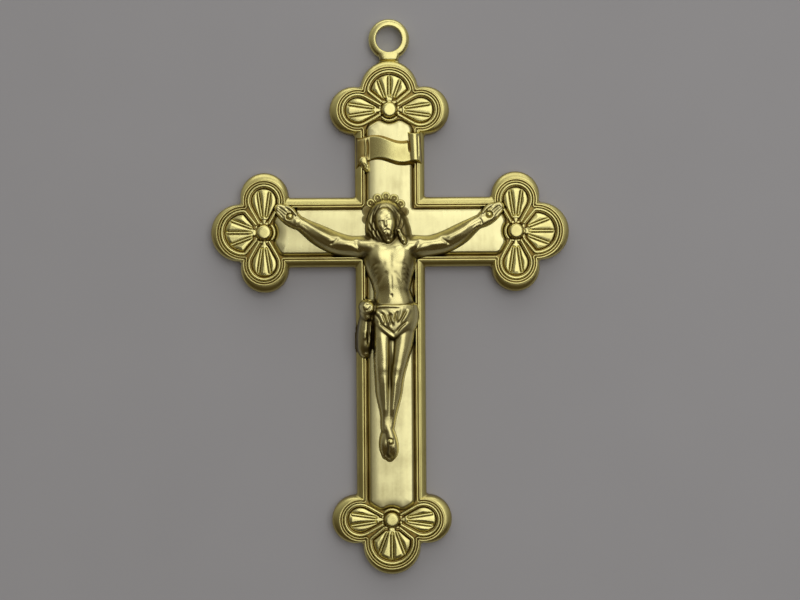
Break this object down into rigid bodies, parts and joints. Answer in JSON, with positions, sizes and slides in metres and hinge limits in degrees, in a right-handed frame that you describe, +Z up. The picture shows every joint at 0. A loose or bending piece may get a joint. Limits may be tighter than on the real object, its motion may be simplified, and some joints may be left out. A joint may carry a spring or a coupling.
{
  "type": "crucifix",
  "caption": "Hanging brass crucifix with trefoil ends, petalled rosettes, a raised field panel, a figure, a bare title scroll and a hanging eye.",
  "frame": {"origin": "centre of the hanging eye's hole, halfway through its thickness", "axes": "+Z up the cross towards the hanging eye, -Y out of its face, +X to the viewer's right"},
  "size_m": [0.0418, 0.0047, 0.0649],
  "materials": {
    "brass_rim": "satin yellow brass, domed and lightly worn",
    "brass_back": "plain rolled yellow brass",
    "brass_field": "brushed bright yellow brass",
    "brass_eye": "satin yellow brass",
    "brass_ornament": "struck yellow brass with darker recesses",
    "brass_figure": "struck satin brass with darker recesses",
    "brass_pins": "polished yellow brass"
  },
  "bodies": {
    "root": {"front_shell": "brass_rim", "back_plate": "brass_back", "field_panel": "brass_field", "hanging_eye": "brass_eye", "nimbus": "brass_ornament", "title_scroll": "brass_ornament", "corpus": "brass_figure", "palm_nail_left": "brass_pins", "palm_nail_right": "brass_pins", "foot_nail": "brass_pins", "rosette_right": "brass_ornament", "rosette_top": "brass_ornament", "rosette_left": "brass_ornament", "rosette_bottom": "brass_ornament", "rosette_rivet_right": "brass_pins", "rosette_rivet_top": "brass_pins", "rosette_rivet_left": "brass_pins", "rosette_rivet_bottom": "brass_pins"}
  },
  "joints": []
}
